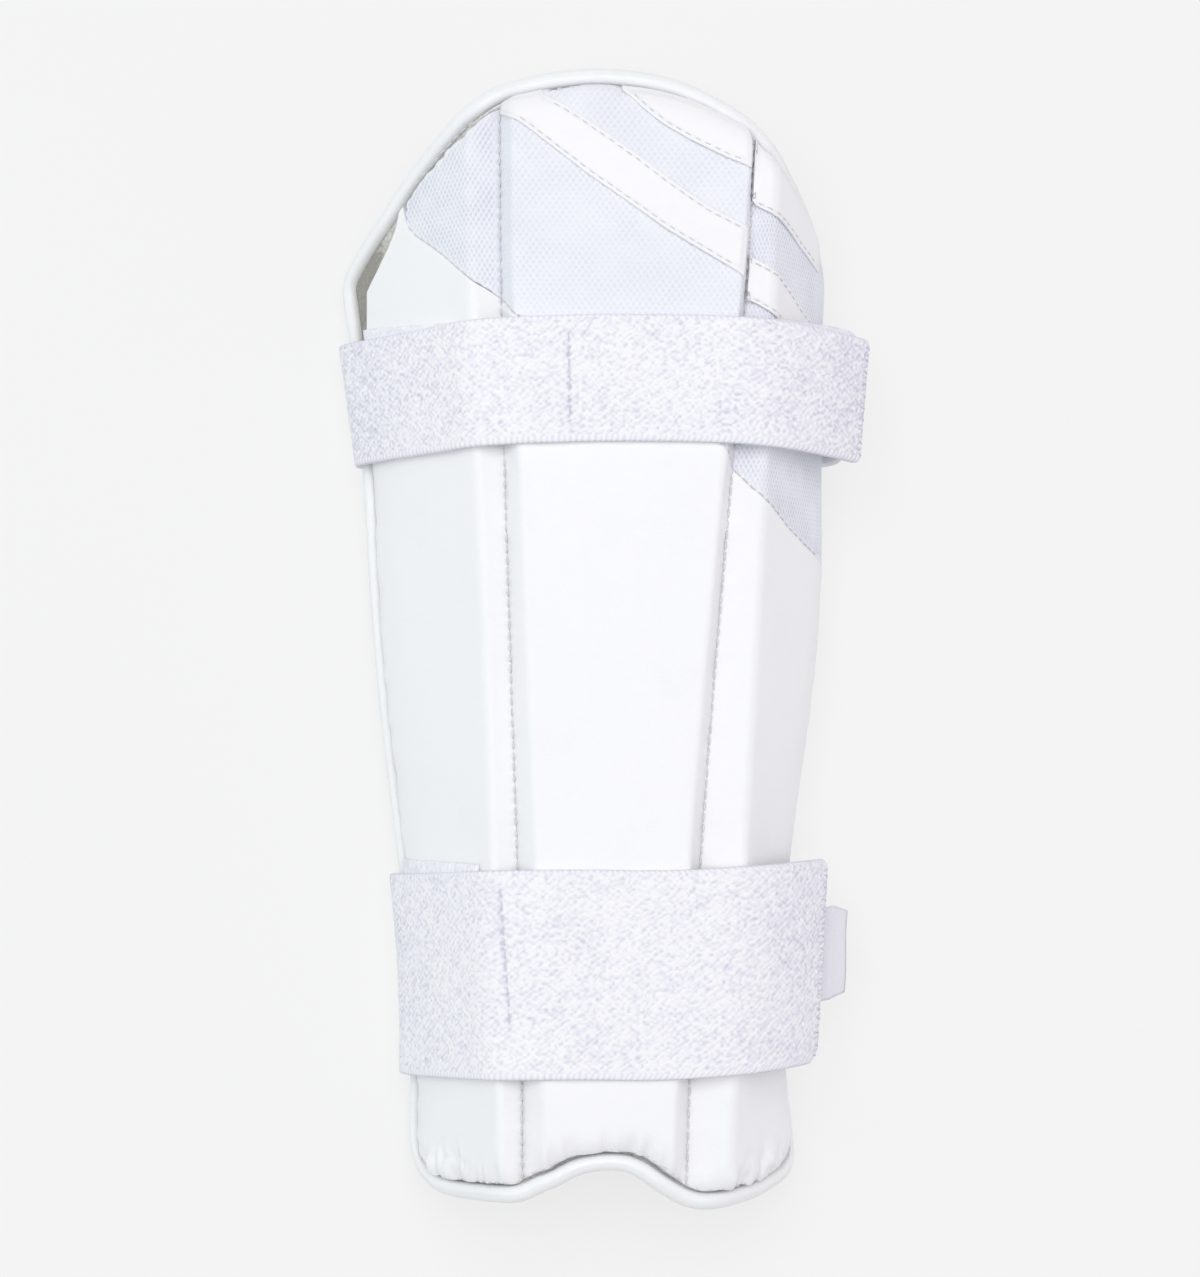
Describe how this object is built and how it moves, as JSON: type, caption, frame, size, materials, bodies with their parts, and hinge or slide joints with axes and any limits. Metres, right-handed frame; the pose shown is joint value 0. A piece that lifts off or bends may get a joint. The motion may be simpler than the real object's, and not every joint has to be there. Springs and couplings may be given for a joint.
{
  "type": "cricket arm guard",
  "caption": "Padded forearm guard: a trough of foam panels with a domed end, corded edge and elastic straps that close over the front.",
  "frame": {"origin": "on the floor under the middle of the guard, which lies on the flat backs of its closed straps", "axes": "+Y along the arm towards the domed end, +Z out of the padded front, +X towards the side where the straps end"},
  "size_m": [0.1428, 0.2946, 0.0566],
  "materials": {
    "smooth_cover": "soft satin white synthetic leather over foam, fine grain",
    "mesh_cover": "bluish white embossed spacer mesh with staggered small dimples",
    "band_cover": "smooth white synthetic leather bands, stitched along both edges",
    "edge_binding": "glossy white synthetic leather rolled over a cord, small puckers",
    "elastic_webbing": "lavender white woven elastic with a pebbled loop face and smooth selvages",
    "towelling_base": "off-white brushed towelling over the foam base",
    "label_tape": "plain white satin tape, bare"
  },
  "bodies": {
    "root": {"backing": "towelling_base", "panel_left_lower": "smooth_cover", "panel_left_upper": "mesh_cover", "panel_centre_lower": "smooth_cover", "panel_centre_upper": "mesh_cover", "panel_right_lower": "smooth_cover", "panel_right_upper": "mesh_cover", "band_main_centre": "band_cover", "band_upper_centre": "band_cover", "band_main_side": "band_cover", "band_upper_side": "band_cover", "piping": "edge_binding", "strap_upper": "elastic_webbing", "strap_lower": "elastic_webbing", "anchor_tab_upper": "elastic_webbing", "anchor_tab_lower": "elastic_webbing", "label": "label_tape"}
  },
  "joints": []
}
